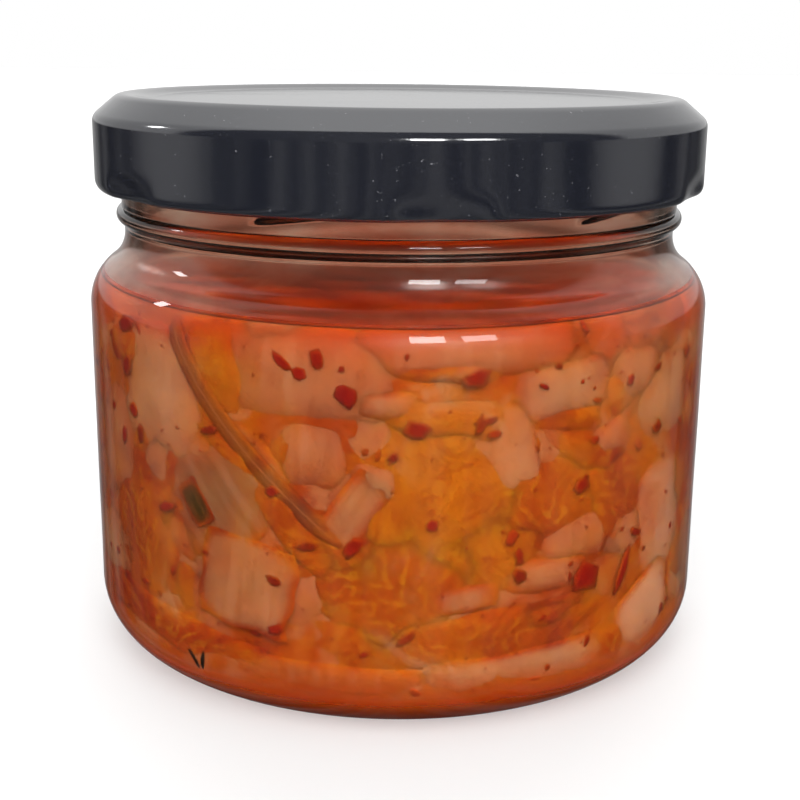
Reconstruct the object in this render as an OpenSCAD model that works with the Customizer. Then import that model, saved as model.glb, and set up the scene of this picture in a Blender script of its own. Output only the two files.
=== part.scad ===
// Jar of kimchi: a wide squat glass jar, its black twist-off metal lid, and the
// pickled cabbage in its brine. Millimetres, +Z up, origin at the middle of the
// base, on the surface that the jar stands on.

/* [Glass body] */
// Outside diameter of the straight side
body_d = 88.5; // [70:0.5:120]
// Height of the straight side
side_h = 40.4; // [25:0.1:90]
// Thickness of the wall
wall = 2.6; // [1.8:0.1:3.4]
// Thickness of the floor beside the wall
floor_t = 3; // [2.2:0.1:7]
// Radius of the rounded outside corner between side and base
heel_r = 9; // [6:0.1:12]
// Radius of the rounded inside corner between side and floor
heel_inner_r = 6.6; // [4:0.1:9]
// Width of the flat ring that the jar stands on
foot_w = 2.8; // [1.5:0.1:5]
// Height of the hollow under the base at its middle
punt_h = 1.6; // [0.5:0.1:2.4]

/* [Shoulder and neck] */
// How far the neck stands in from the side
neck_in = 5.1; // [3.5:0.1:7]
// Radius of the outward curve at the top of the side
shoulder_r = 7.4; // [6:0.1:10]
// Radius of the inward curve under the neck
neck_fillet_r = 5; // [4:0.1:8]
// Height of the plain neck between the shoulder and the ring
neck_h = 1.2; // [0.5:0.1:4]
// How far the ring round the neck stands out
ring_out = 1.1; // [0.6:0.1:1.4]
// Height of the ring round the neck
ring_h = 2.2; // [1.6:0.1:3.4]

/* [Mouth] */
// How far the mouth stands out from the neck
mouth_out = 0.35; // [0:0.05:0.8]
// Height from the ring to the rim of the mouth
mouth_h = 14.4; // [13:0.1:18]
// Number of threads, one for each lug of the lid
thread_count = 6; // [4:1:8]
// How far a thread stands out from the mouth
thread_out = 1.15; // [0.8:0.05:1.3]
// Arc that each thread covers, in degrees
thread_arc = 42; // [24:1:44]
// Slope of each thread, in degrees
thread_slope = 8; // [3:0.5:9]
// Place of the first thread, in degrees from the +X axis
thread_at = 25; // [0:1:60]

/* [Lid] */
// Thickness of the metal sheet
sheet_t = 0.5; // [0.3:0.05:0.6]
// Height from the rolled edge to the bottom of the sloping edge
skirt_h = 9.9; // [9:0.1:11]
// Height of the sloping edge
bevel_h = 2.9; // [2:0.1:3.4]
// Width of the sloping edge, seen from above
bevel_w = 3.5; // [2.5:0.1:4.2]
// Radius of the rounded edge between skirt and slope
edge_r = 1.7; // [1:0.1:2]
// Radius of the rounded crest above the rim of the mouth
crest_r = 2.4; // [1.5:0.1:3]
// Width of the dished band between crest and centre panel
dish_w = 4.8; // [3:0.1:8]
// Depth of the centre panel under the crest
panel_depth = 0.6; // [0.3:0.05:1.2]
// Width of the rolled lower edge
curl_w = 2; // [1.6:0.1:2.4]
// Height of the rolled lower edge
curl_h = 3; // [2:0.1:3.4]
// How far each lug stands in from the rolled edge
lug_in = 0.9; // [0.5:0.1:1]
// Arc that each lug covers, in degrees
lug_arc = 12; // [8:1:16]

/* [Contents] */
// Height from the brine to the rim of the mouth
headspace = 24.8; // [19:0.1:45]
// How far the highest lump of cabbage stands out of the brine
lump_rise = 1.8; // [0.5:0.1:3]
// Number of lumps that stand out of the brine
lump_count = 9; // [3:1:12]

/* [Hidden] */
$fn = 96;
arc_steps = 8;
curl_steps = 16;

// Clearances: contents to glass, rim to lid, threads to lid, and lugs to threads
contents_gap = 0.05;
seal_gap = 0.3;
lid_gap = 0.35;
lug_gap = 0.15;
// Height of a lug, how far it lies above the lid's lower edge, and how many
// degrees its middle lies past the middle of its thread
lug_h = 1;
lug_rise = 0.2;
lug_turn = 12;
// Turn of the rolled lower edge, in degrees
curl_turn = 250;
// Rise of the floor at its middle
floor_rise = 1.2;
// Radius of the lumps, the angle from each to the next, and the share of its
// height that the outermost one loses
lump_r = 13;
lump_turn = 137.5;
lump_loss = 0.6;

body_r = body_d / 2;
body_top_z = heel_r + side_h;
foot_r = body_r - heel_r;
neck_r = body_r - neck_in;
mouth_r = neck_r + mouth_out;
bore_r = neck_r - wall;
rim_edge_r = (mouth_r - bore_r) / 2;

// The shoulder is two arcs that meet on a common tangent at this angle.
shoulder_turn = acos(1 - neck_in / (shoulder_r + neck_fillet_r));
neck_z = body_top_z + (shoulder_r + neck_fillet_r) * sin(shoulder_turn);
ring_z = neck_z + neck_h;
mouth_z = ring_z + ring_h;
rim_z = mouth_z + mouth_h;
fill_z = rim_z - headspace;

lid_inner_r = mouth_r + thread_out + lid_gap;
lid_r = lid_inner_r + curl_w;
crest_z = rim_z + seal_gap + sheet_t;
skirt_top_z = crest_z - bevel_h;
lid_z = skirt_top_z - skirt_h;
bevel_x = lid_r - bevel_w;
bevel_a = atan(bevel_h / bevel_w);
crest_x = bevel_x - crest_r * tan(bevel_a / 2);
panel_r = crest_x - dish_w;

// Each lug lies just under the rising end of its thread.
lug_z = lid_z + lug_rise;
thread_rise = mouth_r * sin(lug_turn - lug_arc / 2) * sin(thread_slope);
thread_z = lug_z + lug_h + lug_gap + thread_out - thread_rise;

// Points along an arc round c, from angle a0 to angle a1.
function arc(c, r, a0, a1) =
    [for (i = [0:arc_steps]) let (a = a0 + (a1 - a0) * i / arc_steps) c + r * [cos(a), sin(a)]];

// Points along a shallow dome over a circle of radius r at height z.
function dome(r, z, rise) =
    [for (i = [0:arc_steps]) let (f = i / arc_steps) [r * f, z + rise * (1 - f * f)]];

// Points along a bump that stands out from the radius x, from height z up to z + h.
function bump(x, z, h, out) =
    let (r = (h * h / 4 + out * out) / (2 * out), a = asin(h / 2 / r))
    arc([x + out - r, z + h / 2], r, -a, a);

// The same points, last one first.
function backward(points) = [for (i = [len(points) - 1:-1:0]) points[i]];

// Side, shoulder and neck of the glass, from the bottom up, moved in by t.
function shoulder(t) = concat(
    arc([body_r - shoulder_r, body_top_z], shoulder_r - t, 0, shoulder_turn),
    arc([neck_r + neck_fillet_r, neck_z], neck_fillet_r + t, 180 + shoulder_turn, 180));

// Inside of the glass from the middle of the floor to the shoulder, moved in by t.
function inside(t) = concat(
    dome(body_r - wall - heel_inner_r, floor_t + t, floor_rise),
    arc([body_r - wall - heel_inner_r, floor_t + heel_inner_r], heel_inner_r - t, -90, 0),
    shoulder(wall + t));

// Outer face of the lid's sheet, moved in by t, from the middle to the end of the roll.
function lid_face(t) = concat(
    [[0, crest_z - panel_depth - t]],
    [for (i = [0:arc_steps]) let (f = i / arc_steps)
        [panel_r + dish_w * f, crest_z - t - panel_depth * (1 + cos(180 * f)) / 2]],
    arc([crest_x, crest_z - crest_r], crest_r - t, 90, 90 - bevel_a),
    arc([lid_r - edge_r, skirt_top_z - edge_r * tan(45 - bevel_a / 2)], edge_r - t, 90 - bevel_a, 0),
    [for (i = [0:curl_steps]) let (a = -curl_turn * i / curl_steps)
        [lid_r - curl_w / 2 + (curl_w / 2 - t) * cos(a), lid_z + curl_h / 2 + (curl_h / 2 - t) * sin(a)]]);

module thread() {
    translate([0, 0, thread_z]) rotate([thread_slope, 0, 0]) rotate([0, 0, -thread_arc / 2])
        rotate_extrude(angle = thread_arc) translate([mouth_r, 0]) circle(r = thread_out);
}

module jar() {
    outside = concat(
        dome(foot_r - foot_w, 0, punt_h),
        arc([foot_r, heel_r], heel_r, -90, 0),
        shoulder(0),
        bump(neck_r, ring_z, ring_h, ring_out),
        [[mouth_r, mouth_z]],
        arc([mouth_r - rim_edge_r, rim_z - rim_edge_r], rim_edge_r, 0, 180));
    color("honeydew", 0.5) {
        rotate_extrude() polygon(concat(outside, backward(inside(0))));
        for (i = [0:thread_count - 1]) rotate([0, 0, thread_at + 360 * i / thread_count]) thread();
    }
}

module lug() {
    rotate([0, 0, lug_turn - lug_arc / 2]) rotate_extrude(angle = lug_arc)
        translate([lid_inner_r - lug_in, lug_z]) square([lug_in + sheet_t, lug_h]);
}

module lid() {
    color("black") {
        rotate_extrude() polygon(concat(lid_face(0), backward(lid_face(sheet_t))));
        for (i = [0:thread_count - 1]) rotate([0, 0, thread_at + 360 * i / thread_count]) lug();
    }
}

module lump(i) {
    far = (bore_r - lump_r) * sqrt(i / lump_count);
    rise = lump_rise * (1 - lump_loss * i / lump_count);
    rotate([0, 0, lump_turn * i]) translate([far, 0, fill_z + rise - lump_r]) sphere(r = lump_r);
}

module kimchi() {
    color("chocolate") {
        intersection() {
            rotate_extrude()
                polygon(concat(inside(contents_gap), [[bore_r - contents_gap, rim_z], [0, rim_z]]));
            cylinder(r = body_r, h = fill_z);
        }
        for (i = [0:lump_count - 1]) lump(i);
    }
}

jar();
lid();
kimchi();
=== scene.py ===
"""A jar of kimchi: a clear glass jar with a black twist-off lid, filled with
pickled cabbage, chilli flakes and brine. Lengths are in millimetres until a mesh
is made, and azimuths are in degrees from the front of the jar, positive to the right."""

import math
import random

import bpy
import numpy as np
from mathutils import Matrix, Vector


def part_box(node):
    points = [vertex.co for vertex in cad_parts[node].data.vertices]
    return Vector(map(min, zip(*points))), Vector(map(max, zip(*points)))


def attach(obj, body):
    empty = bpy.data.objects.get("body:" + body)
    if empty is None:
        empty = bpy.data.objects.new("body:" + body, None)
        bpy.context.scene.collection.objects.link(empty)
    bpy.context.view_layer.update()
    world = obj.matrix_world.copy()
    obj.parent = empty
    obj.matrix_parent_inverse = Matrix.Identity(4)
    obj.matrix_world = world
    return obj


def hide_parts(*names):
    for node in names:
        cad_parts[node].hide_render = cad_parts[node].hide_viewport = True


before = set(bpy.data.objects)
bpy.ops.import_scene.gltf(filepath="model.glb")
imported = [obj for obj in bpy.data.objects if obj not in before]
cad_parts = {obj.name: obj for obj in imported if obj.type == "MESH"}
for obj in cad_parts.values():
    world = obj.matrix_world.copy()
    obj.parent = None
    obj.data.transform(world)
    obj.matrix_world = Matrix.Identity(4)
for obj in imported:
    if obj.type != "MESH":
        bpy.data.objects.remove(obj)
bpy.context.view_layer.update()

MM = 0.001
SEGMENTS = 288

# ---- Sizes: the overall ones come from the frame, the rest are those of the part ----
_, jar_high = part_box("jar")
lid_low, lid_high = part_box("lid")
_, kimchi_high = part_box("kimchi")
BODY_R = jar_high.x / MM
RIM_Z = jar_high.z / MM
LID_R = lid_high.x / MM
LID_Z = lid_low.z / MM
CREST_Z = lid_high.z / MM

WALL, FLOOR_T, HEEL_R, HEEL_INNER_R = 2.6, 3.0, 9.0, 6.6
FOOT_W, PUNT_H, FLOOR_RISE = 2.8, 1.6, 1.2
SHOULDER_R, NECK_FILLET_R, NECK_IN = 7.4, 5.0, 5.1
BODY_TOP_Z = 49.4
NECK_H, RING_H, RING_OUT, MOUTH_OUT, LIP_R = 1.2, 2.2, 1.1, 0.35, 1.3
THREAD_COUNT, THREAD_OUT, THREAD_ARC, THREAD_SLOPE, THREAD_AT = 6, 1.15, 42.0, 8.0, 25.0
SHEET_T, BEVEL_H, BEVEL_W = 0.5, 2.9, 3.5
EDGE_R, CREST_R, DISH_W, PANEL_DEPTH = 1.7, 2.4, 4.8, 0.6
CURL_W, CURL_H, CURL_TURN = 2.0, 3.0, 250.0
LUG_IN, LUG_H, LUG_RISE, LUG_ARC, LUG_TURN, LUG_GAP = 0.9, 1.0, 0.2, 12.0, 12.0, 0.15
# The brine lies this far below the highest lump of the contents, and its level is kept to 0.1 mm
LUMP_RISE = 1.8
BRINE_Z = round(kimchi_high.z / MM - LUMP_RISE, 1)

NECK_R = BODY_R - NECK_IN
MOUTH_R = NECK_R + MOUTH_OUT
BORE_R = NECK_R - WALL
SHOULDER_TURN = math.degrees(math.acos(1 - NECK_IN / (SHOULDER_R + NECK_FILLET_R)))
NECK_Z = BODY_TOP_Z + (SHOULDER_R + NECK_FILLET_R) * math.sin(math.radians(SHOULDER_TURN))
RING_Z = NECK_Z + NECK_H
MOUTH_Z = RING_Z + RING_H
THREAD_Z = (LID_Z + LUG_RISE + LUG_H + LUG_GAP + THREAD_OUT
            - MOUTH_R * math.sin(math.radians(LUG_TURN - LUG_ARC / 2)) * math.sin(math.radians(THREAD_SLOPE)))


# ---- Outlines ----
def arc(cx, cz, r, a0, a1, steps):
    angles = np.radians(np.linspace(a0, a1, steps + 1))
    return [(cx + r * math.cos(a), cz + r * math.sin(a)) for a in angles]


def dome(r, z, rise, steps=8):
    return [(r * f, z + rise * (1 - f * f)) for f in np.linspace(0, 1, steps + 1)]


def straight(r, z0, z1, steps):
    return [(r, z) for z in np.linspace(z0, z1, steps + 1)[1:-1]]


def bump(r0, z, h, out, steps=12):
    r = (h * h / 4 + out * out) / (2 * out)
    a = math.degrees(math.asin(h / 2 / r))
    return arc(r0 + out - r, z + h / 2, r, -a, a, steps)


def shoulder(t, steps=20):
    """Side, shoulder and neck of the glass, moved in by t."""
    return (arc(BODY_R - SHOULDER_R, BODY_TOP_Z, SHOULDER_R - t, 0, SHOULDER_TURN, steps)
            + arc(NECK_R + NECK_FILLET_R, NECK_Z, NECK_FILLET_R + t, 180 + SHOULDER_TURN, 180, steps)[1:])


def inside(t):
    """Inside of the glass from the middle of the floor to the neck, moved in by t."""
    corner_r = BODY_R - WALL - HEEL_INNER_R
    return (dome(corner_r, FLOOR_T + t, FLOOR_RISE)
            + arc(corner_r, FLOOR_T + HEEL_INNER_R, HEEL_INNER_R - t, -90, 0, 18)[1:]
            + straight(BODY_R - WALL - t, FLOOR_T + HEEL_INNER_R, BODY_TOP_Z, 14)
            + shoulder(WALL + t))


INNER = inside(0)
INNER_Z = [z for r, z in INNER]
INNER_RADII = [r for r, z in INNER]


def wall_radius(z):
    """Radius of the inside of the glass at height z."""
    return np.interp(z, INNER_Z, INNER_RADII)


# ---- Meshes ----
def mesh_object(name, verts, faces):
    mesh = bpy.data.meshes.new(name)
    mesh.from_pydata((np.asarray(verts) * MM).tolist(), [], faces)
    mesh.validate()
    mesh.update()
    mesh.shade_smooth()
    obj = bpy.data.objects.new(name, mesh)
    bpy.context.scene.collection.objects.link(obj)
    return obj


def lathe(name, section, warp=None, segments=SEGMENTS):
    """Turns a section that starts and ends on the axis. warp moves the rings: it takes
    and returns radius and height arrays of shape (rings, segments), and gets the angles."""
    rings = np.array(section[1:-1])
    angle = np.linspace(0, 2 * math.pi, segments, endpoint=False)
    r = np.repeat(rings[:, :1], segments, axis=1)
    z = np.repeat(rings[:, 1:], segments, axis=1)
    if warp:
        r, z = warp(r, z, angle[None, :])
    verts = np.stack([r * np.cos(angle), r * np.sin(angle), z], axis=-1).reshape(-1, 3)
    first, last = len(verts), len(verts) + 1
    verts = np.vstack([verts, [0, 0, section[0][1]], [0, 0, section[-1][1]]])
    faces = []
    top = (len(rings) - 1) * segments
    for j in range(segments):
        k = (j + 1) % segments
        faces.append((first, k, j))
        faces.append((last, top + j, top + k))
        faces += [(i + j, i + k, i + segments + k, i + segments + j) for i in range(0, top, segments)]
    return mesh_object(name, verts, faces)


def smooth(x):
    """Eases a value from 0 to 1 in and out."""
    return x * x * (3 - 2 * x)


def waves(x, y, rng, size, terms=6):
    """Smooth uneven relief of about one unit, whose swells are about size across."""
    total = 0
    for _ in range(terms):
        turn = rng.uniform(0, 2 * math.pi)
        k = 2 * math.pi / size * rng.uniform(0.6, 1.5)
        total = total + np.sin(k * (x * math.cos(turn) + y * math.sin(turn)) + rng.uniform(0, 2 * math.pi))
    return total / math.sqrt(terms)


# ---- Materials ----
# Numbers of outputs, of the nodes Texture Coordinate, Attribute and Light Path
GENERATED_OUT, UV_OUT, OBJECT_OUT = 0, 2, 3
COLOUR_OUT, ALPHA_OUT = 0, 3
CAMERA_RAY_OUT = 0


class Graph:
    """The nodes of a new material, or of the tree that is given. Arguments are plain values
    or the outputs of other nodes."""

    def __init__(self, name, tree=None):
        self.tree = tree
        if tree is None:
            self.material = bpy.data.materials.new(name)
            self.material.use_nodes = True
            self.tree = self.material.node_tree
            self.tree.nodes.clear()
            self.output = self.tree.nodes.new("ShaderNodeOutputMaterial")

    def put(self, node, socket, value):
        target = node.inputs[socket]
        if isinstance(value, bpy.types.NodeSocket):
            self.tree.links.new(value, target)
        elif isinstance(value, tuple) and len(value) == 3 and target.type == "RGBA":
            target.default_value = (*value, 1)
        else:
            target.default_value = value

    def node(self, kind, *inputs, out=0, **settings):
        node = self.tree.nodes.new("ShaderNode" + kind)
        named = settings.pop("named", {})
        for key, value in settings.items():
            setattr(node, key, value)
        for socket, value in list(enumerate(inputs)) + list(named.items()):
            if value is not None:
                self.put(node, socket, value)
        return node.outputs[out]

    def math(self, operation, *inputs, clamp=False):
        return self.node("Math", *inputs, operation=operation, use_clamp=clamp)

    def remap(self, value, low, high, to_low=0.0, to_high=1.0):
        return self.node("MapRange", value, low, high, to_low, to_high, interpolation_type="SMOOTHSTEP")

    def mix(self, factor, a, b):
        node = self.tree.nodes.new("ShaderNodeMix")
        node.data_type = "RGBA"
        for socket, value in ((0, factor), (6, a), (7, b)):
            self.put(node, socket, value)
        return node.outputs[2]

    def noise(self, vector, scale, detail=3.0, roughness=0.55, distortion=0.0):
        return self.node("TexNoise", named={"Vector": vector, "Scale": scale, "Detail": detail,
                                            "Roughness": roughness, "Distortion": distortion})

    def stretched(self, vector, scale):
        return self.node("Mapping", named={"Vector": vector, "Scale": scale})

    def own(self):
        """A piece's own colour, and how clear it is of the colour of its surroundings."""
        return [self.node("Attribute", attribute_name="tint", out=i) for i in (COLOUR_OUT, ALPHA_OUT)]

    def ramp(self, value, stops):
        node = self.tree.nodes.new("ShaderNodeValToRGB")
        self.put(node, 0, value)
        elements = node.color_ramp.elements
        while len(elements) < len(stops):
            elements.new(0.5)
        for element, (place, colour) in zip(elements, stops):
            element.position = place
            element.color = (*colour, 1)
        return node.outputs[0]

    def place(self):
        return self.node("TexCoord", out=OBJECT_OUT)

    def along(self):
        return self.node("TexCoord", out=UV_OUT)

    def parts(self, vector):
        return [self.node("SeparateXYZ", vector, out=i) for i in range(3)]

    def bump(self, height, strength, distance):
        return self.node("Bump", named={"Height": height, "Strength": strength, "Distance": distance})

    def surface(self, **inputs):
        node = self.tree.nodes.new("ShaderNodeBsdfPrincipled")
        for socket, value in inputs.items():
            self.put(node, socket.replace("_", " "), value)
        self.tree.links.new(node.outputs[0], self.output.inputs["Surface"])
        return self.material


def linear(r, g, b):
    """A colour as it is seen, 0 to 255, as linear light."""
    return tuple(c / 255 / 12.92 if c < 11 else ((c / 255 + 0.055) / 1.055) ** 2.4 for c in (r, g, b))


GLASS_IOR, LIQUID_IOR, LACQUER_IOR = 1.5, 1.34, 2.6
FAINT_SHINE = 0.1
GLASS_TINT, GLASS_TINT_DENSITY = (0.72, 0.93, 0.80, 1), 26.0
SOFT = {"Subsurface_Weight": 0.5, "Subsurface_Radius": (1.0, 0.4, 0.12), "Subsurface_Scale": 0.0016}

# The colours that what lies deep in the brine fades to: patches from dark to pale, then
# those just under the surface, on the heap's top away from the glass, and at the bottom. The last two
# are painted light: brighter colours for the light that the lid shades from the top and that the thick glass
# base gathers
PATCH_HAZE = ((0.37, (138, 38, 2)), (0.45, (168, 62, 2)), (0.53, (184, 88, 4)),
              (0.60, (180, 96, 30)), (0.68, (190, 122, 80)))
SURFACE_HAZE, PAINTED_LIGHT_TOP_HAZE, PAINTED_LIGHT_BOTTOM_HAZE = (178, 58, 2), (236, 98, 8), (240, 86, 6)
PIECE_HAZE_MM, FLAKE_HAZE_MM, CORE_HAZE_MM = 0.8, 1.0, 1.8


def glass_material():
    g = Graph("clear_glass")
    g.surface(Base_Color=(1.0, 1.0, 1.0), Roughness=0.0, IOR=GLASS_IOR, Transmission_Weight=1.0)
    tint = g.node("VolumeAbsorption", GLASS_TINT, GLASS_TINT_DENSITY)
    g.tree.links.new(tint, g.output.inputs["Volume"])
    return g.material


def liquid(g, colour, roughness):
    return g.surface(Base_Color=colour, Roughness=roughness, IOR=LIQUID_IOR, Specular_IOR_Level=FAINT_SHINE,
                     Transmission_Weight=1.0)


def brine_material():
    return liquid(Graph("brine"), (1.0, 0.92, 0.76), 0.35)


def film_material():
    """The red juice that wets the inside of the glass above the brine."""
    g = Graph("juice_film")
    smears = g.noise(g.stretched(g.place(), (1.0, 1.0, 2.5)), 60.0, 4.0, 0.6, 0.4)
    thick, thin = (0.86, 0.46, 0.34), (0.96, 0.76, 0.64)
    return liquid(g, g.mix(g.remap(smears, 0.4, 0.7), thick, thin), 0.12)


def sunk(g, colour, haze_mm=PIECE_HAZE_MM, inner=1.0):
    """The colour as seen through the brine that lies between it and the glass or the surface,
    which hides all but 1/e of it at a depth of haze_mm. Where inner is 0, the piece has the
    colour of its surroundings."""
    x, y, z = g.parts(g.place())
    radius = g.math("SQRT", g.math("ADD", g.math("MULTIPLY", x, x), g.math("MULTIPLY", y, y)))
    behind_glass = g.math("SUBTRACT", (BODY_R - WALL) * MM, radius)
    under_surface = g.math("SUBTRACT", BRINE_Z * MM, z)
    depth = g.math("MINIMUM", behind_glass, under_surface)
    clear = g.math("POWER", math.e, g.math("MULTIPLY", depth, -1 / (haze_mm * MM)), clamp=True)
    clear = g.math("MULTIPLY", clear, inner)

    def near_surface(low, high):
        return g.remap(z, (BRINE_Z - low) * MM, (BRINE_Z - high) * MM)

    patches = g.noise(g.place(), 75.0, 6.0, 0.62, 0.6)
    haze = g.ramp(patches, [(stop, linear(*seen)) for stop, seen in PATCH_HAZE])
    haze = g.mix(near_surface(6.0, 2.6), haze, linear(*SURFACE_HAZE))
    # Painted light: the heap's top away from the glass is brightened, for light that the lid's shade keeps
    # from it
    painted_light_on_top = g.math("MULTIPLY", near_surface(3.2, 2.0), g.remap(behind_glass, 1.2 * MM, 3.0 * MM))
    haze = g.mix(painted_light_on_top, haze, linear(*PAINTED_LIGHT_TOP_HAZE))
    # Painted light: brighter towards the bottom, for light that the thick glass base gathers there
    haze = g.mix(g.remap(z, 10.0 * MM, 5.0 * MM), haze, linear(*PAINTED_LIGHT_BOTTOM_HAZE))
    return g.mix(clear, haze, colour)


def core_material():
    g = Graph("deep_kimchi")
    p = g.place()
    orange, yellow = linear(164, 60, 3), linear(182, 88, 5)
    pale, red = linear(182, 116, 74), linear(156, 50, 3)
    large = g.noise(p, 60.0, 2.0, 0.5, 0.8)
    lumps = g.noise(p, 110.0, 3.0, 0.5, 1.2)
    fine = g.noise(p, 420.0, 4.0, 0.6)
    colour = g.mix(g.remap(large, 0.42, 0.6), orange, yellow)
    colour = g.mix(g.remap(lumps, 0.47, 0.64, 0.0, 0.85), colour, pale)
    colour = g.mix(g.remap(fine, 0.5, 0.7, 0.0, 0.5), colour, red)
    return g.surface(Base_Color=sunk(g, colour, CORE_HAZE_MM), Roughness=0.5, Specular_IOR_Level=0.0, **SOFT)


def stem_material():
    g = Graph("cabbage_stem")
    colour, inner = g.own()
    rib, stain = linear(200, 146, 110), linear(180, 82, 24)
    ribs = g.noise(g.stretched(g.along(), (2.2, 0.16, 1.0)), 3.0, 2.0, 0.5, 0.2)
    cloudy = g.noise(g.place(), 110.0, 5.0, 0.6)
    colour = g.mix(g.remap(ribs, 0.40, 0.70, 0.0, 0.25), colour, rib)
    colour = g.mix(g.remap(cloudy, 0.46, 0.74, 0.0, 0.55), colour, stain)
    return g.surface(Base_Color=sunk(g, colour, inner=inner), Roughness=0.45, Specular_IOR_Level=0.0, **SOFT)


def leaf_material():
    """Leaf with veins that branch from its middle, broken up and stained by the brine."""
    g = Graph("cabbage_leaf")
    colour, inner = g.own()
    uv = g.along()
    across, along, _ = g.parts(uv)
    branch_slope, branch_sway, veins_per_unit = 1.5, 1.9, 16.0
    dark, stain, vein = linear(150, 52, 2), linear(190, 98, 6), linear(206, 124, 12)
    sway = g.noise(uv, 1.6, 3.0, 0.6)
    branch = g.math("ADD", g.math("MULTIPLY", g.math("ABSOLUTE", across), branch_slope),
                    g.math("MULTIPLY", sway, branch_sway))
    fan = g.math("SUBTRACT", along, branch)
    veins = g.remap(g.math("SINE", g.math("MULTIPLY", fan, veins_per_unit)), 0.2, 1.0)
    broken = g.remap(g.noise(uv, 4.0, 4.0, 0.6), 0.38, 0.60, 0.1, 0.55)
    along_veins = g.node("CombineXYZ", g.math("MULTIPLY", fan, 3.0), g.math("MULTIPLY", across, 0.8))
    streaks = g.noise(along_veins, 4.0, 5.0, 0.65)
    cloudy = g.noise(g.place(), 200.0, 5.0, 0.65)
    colour = g.mix(g.remap(streaks, 0.38, 0.62, 0.0, 0.75), colour, dark)
    colour = g.mix(g.remap(cloudy, 0.5, 0.74, 0.0, 0.5), colour, stain)
    colour = g.mix(g.math("MULTIPLY", veins, broken), colour, vein)
    return g.surface(Base_Color=sunk(g, colour, inner=inner), Roughness=0.45, Specular_IOR_Level=0.0, **SOFT)


def flake_material():
    g = Graph("chilli_flake")
    colour, inner = g.own()
    spots = g.noise(g.place(), 700.0, 2.0)
    colour = g.mix(g.remap(spots, 0.4, 0.7, 0.0, 0.4), colour, linear(170, 24, 2))
    return g.surface(Base_Color=sunk(g, colour, FLAKE_HAZE_MM, inner), Roughness=0.4, Specular_IOR_Level=0.0)


def strip_material():
    g = Graph("onion_strip")
    colour, inner = g.own()
    grain = g.noise(g.stretched(g.along(), (6.0, 0.5, 1.0)), 4.0)
    colour = g.mix(g.remap(grain, 0.4, 0.7, 0.0, 0.4), colour, linear(160, 84, 26))
    return g.surface(Base_Color=sunk(g, colour, inner=inner), Roughness=0.45, Specular_IOR_Level=0.0)


def crumb_material():
    g = Graph("pepper_crumb")
    spots = g.noise(g.place(), 900.0, 2.0)
    colour = g.mix(g.remap(spots, 0.4, 0.7), linear(16, 12, 5), linear(44, 32, 10))
    return g.surface(Base_Color=colour, Roughness=0.6, Specular_IOR_Level=0.0)


def lacquer_material():
    """Glossy black lacquer with a fine peel, slight dents, scuffs and dust."""
    g = Graph("black_lacquer")
    p = g.place()
    black, worn, grey = linear(18, 20, 28), linear(60, 62, 72), linear(150, 150, 155)
    peel = g.noise(p, 900.0, 2.0, 0.5)
    dents = g.noise(p, 60.0, 2.0, 0.5)
    scuffs = g.remap(g.noise(g.stretched(p, (1.0, 1.0, 6.0)), 420.0, 6.0, 0.75), 0.62, 0.80)
    dust = g.remap(g.noise(p, 2200.0, 2.0, 0.6), 0.69, 0.77)
    colour = g.mix(g.math("MULTIPLY", scuffs, 0.35), black, worn)
    colour = g.mix(g.math("MULTIPLY", dust, 0.4), colour, grey)
    height = g.math("ADD", g.math("MULTIPLY", peel, 0.1), dents)
    rough = g.math("ADD", 0.10, g.math("MULTIPLY", scuffs, 0.18))
    normal = g.bump(height, 0.25, 0.4 * MM)
    return g.surface(Base_Color=colour, Roughness=rough, IOR=LACQUER_IOR, Normal=normal)


# ---- Glass jar ----
def thread_bump(r, z, angle):
    """How far the threads stand out at each place of the mouth."""
    out = np.zeros_like(r)
    for i in range(THREAD_COUNT):
        turn = (np.degrees(angle) - THREAD_AT - 360 * i / THREAD_COUNT + 180) % 360 - 180
        middle = THREAD_Z + MOUTH_R * np.sin(np.radians(turn)) * math.sin(math.radians(THREAD_SLOPE))
        ends = np.clip(1 - np.abs(turn / (THREAD_ARC / 2)) ** 7, 0, 1) ** 0.6
        side = np.clip(1 - ((z - middle) / (THREAD_OUT * 1.05)) ** 2, 0, 1) ** 0.6
        out = np.maximum(out, THREAD_OUT * ends * side)
    return out


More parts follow.
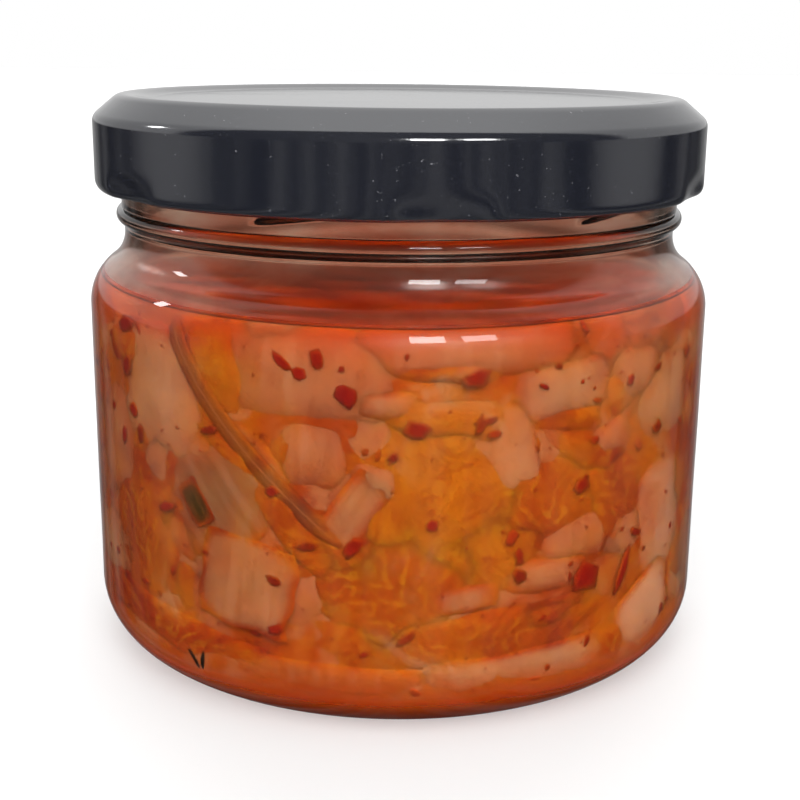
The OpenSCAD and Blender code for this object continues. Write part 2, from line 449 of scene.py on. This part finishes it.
def make_jar():
    """The jar: its outline outside up to the rim, then the inside down to the middle again."""
    foot, thread_zone_h, lip_steps = BODY_R - HEEL_R, 10.0, 8
    outside = (dome(foot - FOOT_W, 0, PUNT_H, 10)
               + arc(foot, HEEL_R, HEEL_R, -90, 0, 26)
               + straight(BODY_R, HEEL_R, BODY_TOP_Z, 14)
               + shoulder(0)
               + bump(NECK_R, RING_Z, RING_H, RING_OUT)
               + straight(MOUTH_R, MOUTH_Z - 0.3, MOUTH_Z + thread_zone_h, 44)
               + arc(MOUTH_R - LIP_R, RIM_Z - LIP_R, LIP_R, 0, 90, lip_steps)
               + arc(BORE_R + LIP_R, RIM_Z - LIP_R, LIP_R, 90, 180, lip_steps))
    inner_lip_at = len(outside) - (lip_steps + 1)
    section = outside + inside(0)[::-1]
    rng = random.Random(5)
    a, b, c, d = (rng.uniform(0, 6.28) for _ in range(4))

    def warp(r, z, angle):
        """Uneven glass: slight waves outside and a little more inside, fading out at foot and rim."""
        ripple = (np.sin(2 * angle + a + z * 0.05) + 0.6 * np.sin(5 * angle + b - z * 0.11)
                  + 0.4 * np.sin(9 * angle + c + z * 0.23) + 0.5 * np.sin(0.35 * z + d + angle))
        fade = np.clip((z - 3) / 10, 0, 1) * np.clip((RIM_Z - 2 - z) / 8, 0, 1)
        outer = np.arange(len(r))[:, None] < inner_lip_at - 1
        moved = np.where(outer, r - 0.02 * fade * (ripple + 2.5), r + 0.05 * fade * ripple)
        on_mouth = outer & (z > MOUTH_Z - 0.5) & (r > MOUTH_R - 0.2)
        return moved + np.where(on_mouth, thread_bump(r, z, angle), 0), z

    jar = lathe("glass_jar", section, warp)
    jar.data.materials.append(glass_material())
    jar.visible_shadow = False
    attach(jar, "root")
    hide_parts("jar")


# ---- Lid ----
def lid_face(t):
    """Outer face of the lid's sheet, moved in by t, from the middle to the end of the roll."""
    bevel = math.degrees(math.atan(BEVEL_H / BEVEL_W))
    crest_x = LID_R - BEVEL_W - CREST_R * math.tan(math.radians(bevel / 2))
    edge_z = CREST_Z - BEVEL_H - EDGE_R * math.tan(math.radians(45 - bevel / 2))
    panel_r = crest_x - DISH_W
    panel = [(panel_r * f, CREST_Z - t - PANEL_DEPTH) for f in (0, 0.3, 0.6, 0.85, 0.97)]
    dish = [(panel_r + DISH_W * f, CREST_Z - t - PANEL_DEPTH * (1 + math.cos(math.pi * f)) / 2)
            for f in np.linspace(0, 1, 15)]
    skirt = [(LID_R - t, z) for z in np.linspace(edge_z, LID_Z + CURL_H / 2, 14)[1:-1]]
    curl_x, curl_z = LID_R - CURL_W / 2, LID_Z + CURL_H / 2
    curl = [(curl_x + (CURL_W / 2 - t) * math.cos(a), curl_z + (CURL_H / 2 - t) * math.sin(a))
            for a in np.radians(np.linspace(0, -CURL_TURN, 26))]
    return (panel + dish
            + arc(crest_x, CREST_Z - CREST_R, CREST_R - t, 90, 90 - bevel, 10)[1:]
            + arc(LID_R - EDGE_R, edge_z, EDGE_R - t, 90 - bevel, 0, 10) + skirt + curl)


def make_lid():
    """The lid's sheet: its outer face, then its inner face back to the middle."""
    dent_h, dent_fade, panel_safe = 4.2, 3.2, 30
    rng = random.Random(11)
    phase, finer_phase = rng.uniform(0, 6.28), rng.uniform(0, 6.28)

    def warp(r, z, angle):
        """Dents where the lugs are pressed in, and a slightly uneven skirt. The panel stays true."""
        low = smooth(np.clip((LID_Z + dent_h - z) / dent_fade, 0, 1))
        pinch = np.zeros_like(r)
        for i in range(THREAD_COUNT):
            turn = (np.degrees(angle) - THREAD_AT - LUG_TURN - 360 * i / THREAD_COUNT + 180) % 360 - 180
            pinch = np.maximum(pinch, np.clip(1 - (turn / (LUG_ARC * 0.75)) ** 2, 0, 1) ** 1.5 + 0 * r)
        inner = np.clip((r - LID_R + 6) / 5, 0, 1)
        sway = 0.03 * np.sin(3 * angle + phase) + 0.02 * np.sin(7 * angle + finer_phase)
        return r - LUG_IN * 0.8 * pinch * low * inner - np.where(r > panel_safe, 0.05 + sway, 0) * inner, z

    lid = lathe("twist_off_lid", lid_face(0) + lid_face(SHEET_T)[::-1], warp)
    lid.data.materials.append(lacquer_material())
    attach(lid, "root")
    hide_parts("lid")


# ---- Contents ----
class Pile:
    """Collects the pieces of one kind, which become one mesh. The alpha of a tint says how
    clear a place is of the colour of its surroundings."""

    def __init__(self, name, material):
        self.name, self.material = name, material
        self.verts, self.faces, self.uvs, self.tints = [], [], [], []
        self.count = 0

    def add(self, verts, faces, uvs, tint):
        self.verts.append(verts)
        self.faces += [tuple(i + self.count for i in face) for face in faces]
        self.uvs.append(uvs)
        self.tints.append(tint)
        self.count += len(verts)

    def make(self):
        obj = mesh_object(self.name, np.vstack(self.verts), self.faces)
        mesh = obj.data
        corner = np.zeros(len(mesh.loops), np.int32)
        mesh.loops.foreach_get("vertex_index", corner)
        uv_layer = mesh.uv_layers.new(name="along")
        uv_layer.data.foreach_set("uv", np.vstack(self.uvs)[corner].astype(np.float32).ravel())
        tints = mesh.color_attributes.new("tint", "FLOAT_COLOR", "POINT")
        tints.data.foreach_set("color", np.vstack(self.tints).astype(np.float32).ravel())
        mesh.materials.append(self.material)
        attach(obj, "root")


# The share of each depth that is kept, so that the pieces lie almost flat against the glass,
# and the least distance that stems and leaves keep from it
SHALLOW, CLEARANCE = 0.42, 0.08
INSIDE_R = BODY_R - WALL
RIB_SPACING, UV_UNIT = 3.4, 10


def on_wall(azimuth, z, depth):
    """Points at an azimuth and height, at a depth behind the inside of the glass."""
    r = wall_radius(z) - depth
    a = np.radians(azimuth)
    return np.stack([r * np.sin(a), -r * np.cos(a), z], axis=-1)


def sheet_faces(columns, rows, flip=False):
    """Faces of a closed sheet, whose vertices are a front grid and then a back grid."""
    back = columns * rows
    faces = []
    for j in range(rows - 1):
        for i in range(columns - 1):
            a = j * columns + i
            quad = (a, a + 1, a + columns + 1, a + columns)
            faces.append(quad)
            faces.append((back + quad[0], back + quad[3], back + quad[2], back + quad[1]))
    right, top = columns - 1, (rows - 1) * columns
    edge = (list(range(right)) + [j * columns + right for j in range(rows - 1)]
            + [top + i for i in range(right, 0, -1)] + [j * columns for j in range(rows - 1, 0, -1)])
    for a, b in zip(edge, edge[1:] + edge[:1]):
        faces.append((b, a, back + a, back + b))
    return [(face[0], *face[:0:-1]) for face in faces] if flip else faces


def slab(pile, azimuth, z, width, height, tilt, colour, rng, curl, depth=0.25, thick=1.6,
         relief=0.14, step=0.8, ribs=0.0, ragged=0.05, soft=1.4):
    """A piece of cabbage that lies against the glass: its width runs across its ribs. It curls
    away from the glass towards its edges, and blends with its surroundings over the last soft mm."""
    nu, nv = max(8, int(width / step)), max(8, int(height / step))
    s, t = np.meshgrid(*(np.sin(np.linspace(-1, 1, n + 1) * math.pi / 2) for n in (nu, nv)))
    x = width / 2 * s * (1 - 0.08 * t ** 2 + ragged * waves(s * 3, t * 3, rng, 3.0) * np.abs(s))
    y = height / 2 * t * (1 - 0.06 * s ** 2 + ragged * waves(s * 3, t * 3, rng, 3.0) * np.abs(t))
    square = 6.0
    rim = (np.abs(s) ** square + np.abs(t) ** square) ** (1 / square)
    body = np.sqrt(1 - np.clip(rim, 0, 1) ** 6)
    curl_power = 4 if curl < 1.5 else 2.2
    rib_phase = x * 2 * math.pi / RIB_SPACING
    lift = (depth + curl * np.clip(rim, 0, 1) ** curl_power + relief * (1 + waves(x, y, rng, 9.0))
            + ribs * (1 + np.cos(rib_phase + waves(x * 0, y, rng, 14.0))) / 2)
    lift = np.maximum(SHALLOW * lift, CLEARANCE)
    turn = math.radians(tilt)
    across = x * math.cos(turn) - y * math.sin(turn)
    up = z + x * math.sin(turn) + y * math.cos(turn)
    up = np.clip(up, FLOOR_T + 1.2, BRINE_Z - 0.6)
    degrees = azimuth + np.degrees(across / INSIDE_R)
    front = on_wall(degrees, up, lift)
    back = on_wall(degrees, up, lift + SHALLOW * (0.3 + thick * body))
    verts = np.vstack([front.reshape(-1, 3), back.reshape(-1, 3)])
    shift = rng.uniform(0, 50)
    uv = np.stack([x, y], axis=-1).reshape(-1, 2) / UV_UNIT + (0, shift)
    shade = np.clip(1 + 0.10 * waves(x, y, rng, 7.0), 0.7, 1.3).reshape(-1, 1)
    inner = smooth(np.clip((1 - rim) * min(width, height) / 2 / soft, 0, 1)).reshape(-1, 1)
    tint = np.hstack([np.array(linear(*colour))[None, :] * shade, inner])
    pile.add(verts, sheet_faces(nu + 1, nv + 1), np.vstack([uv, uv]), np.vstack([tint, tint]))


def flake(pile, azimuth, z, size, colour, rng, depth, stretch, tilt):
    """A flat chip with an uneven outline and a slight bend."""
    corners = rng.randint(5, 8)
    turn = math.radians(tilt)
    outline = []
    for i in range(corners):
        a = 2 * math.pi * (i + rng.uniform(-0.25, 0.25)) / corners
        r = size / 2 * rng.uniform(0.75, 1.15)
        outline.append((r * math.cos(a) * stretch, r * math.sin(a) / stretch))
    ring = np.array(outline)
    points = np.vstack([ring, ring * 0.55, [[0, 0]]])
    x = points[:, 0] * math.cos(turn) - points[:, 1] * math.sin(turn)
    y = points[:, 0] * math.sin(turn) + points[:, 1] * math.cos(turn)
    bend = np.hypot(x, y) ** 2 / max(size, 0.5) * 0.05
    height = np.clip(z + y, FLOOR_T + 0.8, BRINE_Z + 1)
    degrees = azimuth + np.degrees(x / INSIDE_R)
    thick = min(0.35, 0.12 + 0.08 * size)
    front = on_wall(degrees, height, SHALLOW * depth + bend)
    back = on_wall(degrees, height, SHALLOW * depth + bend + thick)
    n = len(points)
    faces = []
    for i in range(corners):
        k = (i + 1) % corners
        ring_i, ring_k, middle = corners + i, corners + k, 2 * corners
        faces += [(i, k, ring_k, ring_i), (ring_i, ring_k, middle)]
        faces += [(n + k, n + i, n + ring_i, n + ring_k), (n + ring_k, n + ring_i, n + middle)]
        faces.append((k, i, n + i, n + k))
    tint = np.repeat(np.array([linear(*colour)]) * rng.uniform(0.85, 1.15), n, axis=0)
    inner = np.array([0.45] * corners + [0.95] * (corners + 1))[:, None]
    tint = np.vstack([np.hstack([tint, inner])] * 2)
    pile.add(np.vstack([front, back]), faces, np.vstack([points, points]) / UV_UNIT, tint)


def strip(pile, route, width, colours):
    """A narrow leaf along a curve of three places, with a pale rib down its middle. Its
    colour goes from the first to the second, and the third is that of the rib."""
    steps, across = 60, np.array([-1, -0.6, -0.14, 0, 0.14, 0.6, 1])
    depth, bend, thick = 0.45, 0.3, 0.3
    t = np.linspace(0, 1, steps + 1)[:, None]
    (a0, z0), (a1, z1), (a2, z2) = route
    azimuth = a0 * (1 - t) ** 2 + 2 * a1 * t * (1 - t) + a2 * t ** 2
    z = z0 * (1 - t) ** 2 + 2 * z1 * t * (1 - t) + z2 * t ** 2
    x = np.radians(azimuth) * INSIDE_R
    dx, dz = np.gradient(x[:, 0])[:, None], np.gradient(z[:, 0])[:, None]
    length = np.hypot(dx, dz)
    half = width / 2 * np.clip(np.minimum(t * 9, (1 - t) * 14), 0.15, 1) ** 0.5
    px, pz = x + half * across * dz / length, z - half * across * dx / length
    lift = SHALLOW * (depth + bend * np.abs(across) ** 2) + 0 * t
    degrees = np.degrees(px / INSIDE_R)
    front, back = on_wall(degrees, pz, lift), on_wall(degrees, pz, lift + thick)
    first, last, rib = (np.array(linear(*colour)) for colour in colours)
    shade = 1 - 0.45 * np.abs(across)[None, :, None] ** 3
    tint = (first * (1 - t[..., None]) + last * t[..., None]) * shade
    tint = np.where(np.abs(across)[None, :, None] < 0.1, rib, tint).reshape(-1, 3)
    inner = (1 - 0.7 * np.abs(across) ** 2) * np.clip(np.minimum(t * 12, (1 - t) * 12), 0, 1)
    tint = np.hstack([tint, 0.85 * inner.reshape(-1, 1)])
    uv = np.stack([across + 0 * t, t * 4 + 0 * across], axis=-1).reshape(-1, 2)
    verts = np.vstack([front.reshape(-1, 3), back.reshape(-1, 3)])
    faces = sheet_faces(len(across), steps + 1, flip=True)
    pile.add(verts, faces, np.vstack([uv, uv]), np.vstack([tint, tint]))


# Colours as they are seen, 0 to 255
PALE, PINK, WARM, OLIVE = (184, 126, 86), (174, 104, 64), (168, 86, 34), (134, 88, 52)
BRIGHT, DULL = (206, 146, 112), (168, 106, 66)
AMBER, GOLD, RUST, EMBER = (164, 68, 1), (190, 106, 0), (146, 50, 5), (160, 36, 1)
DARK_GOLD, GREEN, GREY_BROWN, RIB = (146, 68, 14), (44, 44, 8), (108, 66, 38), (180, 104, 58)
CHILLI, CHILLIES, PEPPER = (146, 0, 0), [(136, 4, 1), (156, 24, 2), (124, 4, 1), (172, 44, 3)], (18, 14, 6)

# The pieces that lie against the front of the glass. Stems and leaves: azimuth, height,
# width, length, tilt, colour, and how far the edges turn away from the glass.
FRONT_STEMS = [
    (-46, 41.5, 17, 17, -8, PALE, 2.0), (-67, 17, 12, 11, 5, PALE, 2.2), (-31, 30.5, 19, 15, 35, OLIVE, 1.8),
    (-26.5, 18.8, 13.5, 12.5, -8, DULL, 0.5), (-7, 30, 5.5, 11, -32, DULL, 0.5),
    (29.5, 44.5, 16, 8, 4, PALE, 2.2), (20, 37, 8, 13, 14, PALE, 2.2), (56, 41, 14, 13, 0, PALE, 2.2),
    (56, 24, 12, 17, 8, BRIGHT, 1.8), (23, 7.6, 27, 6.4, 3, PALE, 0.7), (-12, 6.6, 32, 6, -2, WARM, 0.8),
    (52, 11.5, 13, 10, 30, BRIGHT, 1.0), (12, 18.5, 8.5, 3.6, 8, DULL, 0.8), (27, 20.5, 13, 5, 0, PINK, 2.0),
    (-15, 46, 27, 12, -4, PINK, 2.5), (13, 49.6, 30, 6, 0, PINK, 2.2), (-14, 37, 10, 10, 0, PINK, 2.4),
    (-2, 43.5, 9, 4, 0, PINK, 2.0), (40, 37, 9, 6, 20, PINK, 2.5), (-62, 33, 13, 18, 6, PINK, 2.4),
    (46, 45, 12, 8, 0, PINK, 2.4), (33, 25, 12, 8, 0, PINK, 2.5), (-3, 33.5, 8, 7, 0, PINK, 2.4)]
FRONT_LEAVES = [
    (-52, 23, 14, 21, 12, AMBER, 1.6), (-22, 31, 5, 25, 44, AMBER, 0.8), (7, 31, 26, 24, -20, GOLD, 1.8),
    (8, 41.5, 20, 5, -6, GOLD, 1.6), (31, 40.5, 11, 4, -8, GOLD, 1.6), (42, 43, 5, 6, 20, GOLD, 1.6),
    (12, 13, 38, 7, 3, AMBER, 1.2), (-1, 20, 18, 17, 40, AMBER, 1.4), (27, 30, 18, 13, -15, AMBER, 1.8),
    (-32, 46, 9, 12, 25, GOLD, 1.8), (-7, 24, 12, 14, 20, AMBER, 1.6), (41, 30, 10, 12, 15, AMBER, 1.6),
    (9, 47.6, 18, 3, -2, GOLD, 1.8), (16, 25, 14, 12, 30, GOLD, 1.6),
    (-43, 9.8, 36, 5.5, -7, EMBER, 0.8), (42, 8.5, 6, 6, 0, EMBER, 1.4), (-56, 46.5, 9, 5, 5, EMBER, 1.8),
    (36, 35.5, 12, 6, -25, RUST, 1.6), (28, 15, 12, 4, 5, EMBER, 1.6)]
# Flakes and crumbs: azimuth, height, size, stretch, tilt
FRONT_FLAKES = [
    (-55, 44.1, 2.6, 1.2, 85), (-53, 38.2, 2.2, 1.0, 20), (-57, 34.2, 1.8, 1.5, 80),
    (-19, 48.3, 2.2, 1.4, -35), (-16, 47.0, 1.8, 1.1, -20), (-8, 44.5, 3.0, 1.1, -40),
    (13, 46.9, 3.2, 1.1, 20), (33, 31.8, 2.6, 1.1, 30), (35, 19.0, 4.4, 1.0, 15),
    (44, 18.3, 3.2, 2.2, 65), (-7, 25.5, 3.0, 1.4, 50), (-21, 31.8, 1.8, 1.2, 0),
    (3.5, 40.6, 3.2, 1.2, 0), (-55, 49.4, 2.6, 1.5, 10), (6, 28.5, 1.6, 1.0, 0)]
FRONT_CRUMBS = [(-38.2, 6.4, 1.5, 2.2, -55), (-36.5, 6.4, 1.4, 2.3, 72)]
ONION_ROUTE, ONION_WIDTH = ((-41, 51.5), (-39, 43.5), (-9, 25.5)), 2.5

# How leaves are made: thin, uneven, ragged and soft at the edge
LEAF = {"thick": 0.5, "ragged": 0.12, "soft": 2.6}
BEHIND_COUNT, BEFORE_COUNT, FLAKE_COUNT = 90, 80, 620
# Azimuths between which random pieces lie, and those of the strips at the sides and back
SIDES_AND_BACK, FRONT, BACK_STRIPS = (72, 288), (-75, 75), (95, 168, 262)


def scatter_cabbage(stems, leaves, rng):
    """Random pieces: some at the sides and back against the glass, the rest deeper in at the front."""
    for i in range(BEHIND_COUNT + BEFORE_COUNT):
        behind = i < BEHIND_COUNT
        azimuth = rng.uniform(*(SIDES_AND_BACK if behind else FRONT))
        z = rng.uniform(7, 49)
        depth = rng.uniform(0.2, 1.0) if behind else rng.uniform(1.3, 1.9)
        width, length, tilt = rng.uniform(7, 17), rng.uniform(8, 20), rng.uniform(-80, 80)
        curl = rng.choice([0.6, 1.6, 2.2, 2.6]) if behind else 2.2
        if rng.random() < 0.55:
            colour = rng.choice([PALE, PINK, WARM])
            slab(stems, azimuth, z, width, length, tilt, colour, rng, curl, depth, step=1.4)
        else:
            colour = rng.choice([AMBER, AMBER, GOLD, RUST])
            slab(leaves, azimuth, z, width, length, tilt, colour, rng, curl, depth, relief=0.5, step=1.2,
                 **LEAF)


def scatter_flakes(flakes, rng):
    """Random flakes, most of them small."""
    for _ in range(FLAKE_COUNT):
        size = 0.3 + 2.0 * rng.random() ** 4
        red = rng.choice(CHILLIES)
        flake(flakes, 360 * rng.random(), rng.uniform(4.5, 51.5), size, red, rng,
              rng.choice([0.15, 0.5, 1.0, 1.5]), rng.uniform(0.7, 1.8), 180 * rng.random())


def make_pieces():
    stems, leaves = Pile("cabbage_stems", stem_material()), Pile("cabbage_leaves", leaf_material())
    flakes, strips = Pile("chilli_flakes", flake_material()), Pile("onion_strips", strip_material())
    crumbs = Pile("pepper_crumbs", crumb_material())
    rng = random.Random(21)
    for azimuth, z, width, length, tilt, colour, curl in FRONT_LEAVES:
        depth = 0.2 if colour == EMBER else 0.5
        slab(leaves, azimuth, z, width, length, tilt, colour, rng, curl, depth, relief=0.3, **LEAF)
    for azimuth, z, width, length, tilt, colour, curl in FRONT_STEMS:
        slab(stems, azimuth, z, width, length, tilt, colour, rng, curl, ribs=0.15)
    onion_colours = (DARK_GOLD, GREY_BROWN, RIB)
    strip(strips, ONION_ROUTE, ONION_WIDTH, onion_colours)
    slab(strips, -36.5, 28.4, 3.6, 6.2, 35, GREEN, rng, 0.2, depth=0.08, thick=0.4, relief=0.05, soft=0.7)
    for azimuth, z, size, stretch, tilt in FRONT_FLAKES:
        flake(flakes, azimuth, z, size, CHILLI, rng, 0.12, stretch, tilt)
    for azimuth, z, size, stretch, tilt in FRONT_CRUMBS:
        flake(crumbs, azimuth, z, size, PEPPER, rng, 0.0, stretch, tilt)
    scatter_cabbage(stems, leaves, rng)
    for azimuth in BACK_STRIPS:
        z = rng.uniform(34, 48)
        route = ((azimuth, z), (azimuth + 12, z - 10), (azimuth + 24, z - 17))
        strip(strips, route, 2.2, onion_colours)
    scatter_flakes(flakes, rng)
    for pile in (stems, leaves, flakes, strips, crumbs):
        pile.make()


def make_film():
    """Juice on the inside of the glass, from the brine up to just below the rim."""
    into_glass, film_t, below_rim = 0.1, 0.22, 1.5
    outer = [(r, z) for r, z in inside(-into_glass) if z > BRINE_Z - 0.2]
    outer += straight(BORE_R + into_glass, outer[-1][1], RIM_Z - below_rim, 14)
    ring = outer + [(r - film_t, z) for r, z in outer[::-1]]
    angle = np.linspace(0, 2 * math.pi, SEGMENTS, endpoint=False)
    verts = [(r * math.cos(a), r * math.sin(a), z) for r, z in ring for a in angle]
    faces = []
    for i in range(len(ring)):
        for j in range(SEGMENTS):
            k, n = (j + 1) % SEGMENTS, (i + 1) % len(ring)
            faces.append((i * SEGMENTS + j, i * SEGMENTS + k, n * SEGMENTS + k, n * SEGMENTS + j))
    film = mesh_object("juice_film", verts, faces)
    film.data.materials.append(film_material())
    film.visible_shadow = False
    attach(film, "root")


def make_brine():
    """The brine reaches just into the glass, and climbs a little where it meets it."""
    into_glass, climb, climb_w, sunk_by = 0.15, 0.2, 0.6, 0.25
    section = [(r, z) for r, z in inside(-into_glass) if z < BRINE_Z - 0.4]
    edge, surface_z = float(wall_radius(BRINE_Z)), BRINE_Z - sunk_by
    section += [(edge + 0.1, BRINE_Z + climb), (edge - climb_w, BRINE_Z)]
    section += [(edge * f, surface_z) for f in (0.96, 0.9, 0.75, 0.6, 0.45, 0.3, 0.15, 0)]
    brine = lathe("brine", section)
    brine.data.materials.append(brine_material())
    brine.visible_shadow = False
    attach(brine, "root")


def make_core():
    """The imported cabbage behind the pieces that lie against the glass, with an uneven side and top."""
    rng = random.Random(3)
    section = [(r, z) for r, z in inside(-0.2) if z < BRINE_Z - 3.0]
    top = BRINE_Z - 2.4
    section += [(section[-1][0] * f, top) for f in np.linspace(0.97, 0, 16)]

    def warp(r, z, angle):
        x, y = r * np.cos(angle), r * np.sin(angle)
        swell = waves(x + z * 0.5, y + z * 0.8, rng, 13.0, 8)
        above_floor = np.clip((z - FLOOR_T - 1) / 6, 0, 1)
        inset = np.clip(r / 20, 0, 1) * above_floor * SHALLOW * (2.6 + 0.5 * swell)
        return r - inset, z + np.where(z > top - 1, 0.7 * swell, 0)

    core = lathe("packed_cabbage", section, warp, 160)
    core.data.materials.append(core_material())
    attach(core, "root")
    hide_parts("kimchi")


# ---- Camera, floor and light: the camera is the photo's, solved from the jar's outline ----
CAMERA_AT = Vector((0.4, -200.3, 86.3)) * MM
CAMERA_DOWN, CAMERA_ROLL, CAMERA_LENS = math.radians(14.89), math.radians(0.59), 62.08
FLOOR_HALF = 3000


def make_camera():
    data = bpy.data.cameras.new("camera")
    data.lens = CAMERA_LENS
    data.clip_start = 0.01
    camera = bpy.data.objects.new("camera", data)
    camera.matrix_world = (Matrix.Translation(CAMERA_AT) @ Matrix.Rotation(math.pi / 2 - CAMERA_DOWN, 4, "X")
                           @ Matrix.Rotation(CAMERA_ROLL, 4, "Z"))
    bpy.context.scene.collection.objects.link(camera)
    bpy.context.scene.camera = camera


def make_floor():
    """A pale floor. Glass and lacquer don't show it, or its white would veil the contents."""
    g = Graph("pale_floor")
    colour = g.mix(g.noise(g.place(), 9.0, 2.0), (0.76, 0.76, 0.76), (0.78, 0.78, 0.78))
    g.surface(Base_Color=colour, Roughness=0.7, Specular_IOR_Level=0.1)
    corners = [(FLOOR_HALF * x, FLOOR_HALF * y, 0) for x, y in ((-1, -1), (1, -1), (1, 1), (-1, 1))]
    floor = mesh_object("floor", corners, [(0, 1, 2, 3)])
    floor.data.materials.append(g.material)
    floor.visible_glossy = False
    floor.visible_transmission = False


def make_world():
    """A white studio: the camera sees plain white, and the object a room that is bright
    overhead and behind, dark in front, and dimmer below."""
    world = bpy.data.worlds.new("studio")
    world.use_nodes = True
    g = Graph("studio", world.node_tree)
    background = g.tree.nodes["Background"]
    background.inputs["Color"].default_value = (1, 1, 1, 1)
    x, y, z = g.parts(g.node("TexCoord", out=GENERATED_OUT))
    sideways, up = g.math("ABSOLUTE", x), g.math("MAXIMUM", z, 0.0)
    overhead = g.math("ADD", 0.8, g.math("MULTIPLY", g.math("MULTIPLY", up, up), 0.1))
    room = g.remap(y, -0.17, 0.02, 0.10, overhead)
    room = g.math("MULTIPLY", room, g.remap(sideways, 0.25, 0.85, 1.0, 0.6))
    stripes = g.noise(g.node("CombineXYZ", x, 0.0, 0.0), 7.0, 3.0, 0.6)
    dark = g.remap(stripes, 0.4, 0.62, 0.025, 0.13)
    sides = g.remap(sideways, 0.92, 1.0, dark, 0.25)
    below = g.remap(y, 0.78, 0.97, sides, 0.42)
    room = g.remap(z, -0.03, 0.02, below, room)
    seen = g.math("MAXIMUM", g.node("LightPath", out=CAMERA_RAY_OUT), room)
    g.tree.links.new(seen, background.inputs["Strength"])
    bpy.context.scene.world = world


# Windows show only as highlights: name, azimuth, elevation, radiance, width and height in m
WINDOWS = (("window_left", 10, 24, 12.0, 0.14, 0.14), ("window_right", 29, 24, 8.0, 0.14, 0.12),
           ("window_side", -102, 26, 12.0, 0.06, 0.08))
WINDOW_FAR = 0.7
# Suns light the object softly and show in no reflection: name, azimuth, elevation, strength,
# and how many degrees across they are
SUNS = (("ceiling", 0, 40, 3.6, 70), ("wall_left", -65, 10, 1.5, 60), ("wall_right", 65, 10, 1.5, 60),
        ("wall_front", 0, 4, 1.0, 40), ("wall_back", 180, 35, 1.2, 60))
LIT_PLACE = Vector((0, 0, 60)) * MM


def add_light(name, kind, azimuth, elevation, far, hidden_from, **settings):
    """A light that points at the jar, and that some kinds of rays don't see."""
    data = bpy.data.lights.new(name, kind)
    for key, value in settings.items():
        setattr(data, key, value)
    light = bpy.data.objects.new(name, data)
    for rays in hidden_from:
        setattr(light, "visible_" + rays, False)
    a, up = math.radians(azimuth), math.radians(elevation)
    outward = Vector((math.sin(a) * math.cos(up), -math.cos(a) * math.cos(up), math.sin(up)))
    light.location = LIT_PLACE + far * outward
    light.rotation_euler = (-outward).to_track_quat("-Z", "Y").to_euler()
    bpy.context.scene.collection.objects.link(light)


def make_lights():
    for name, azimuth, elevation, radiance, width, height in WINDOWS:
        add_light(name, "AREA", azimuth, elevation, WINDOW_FAR, ("diffuse", "transmission"),
                  shape="RECTANGLE", size=width, size_y=height, energy=radiance * math.pi * width * height)
    for name, azimuth, elevation, strength, across in SUNS:
        add_light(name, "SUN", azimuth, elevation, 1.0, ("glossy", "transmission"), energy=strength,
                  angle=math.radians(across))


bpy.context.scene.view_settings.view_transform = "Standard"
make_camera()
make_jar()
make_lid()
make_core()
make_pieces()
make_brine()
make_film()
make_floor()
make_world()
make_lights()
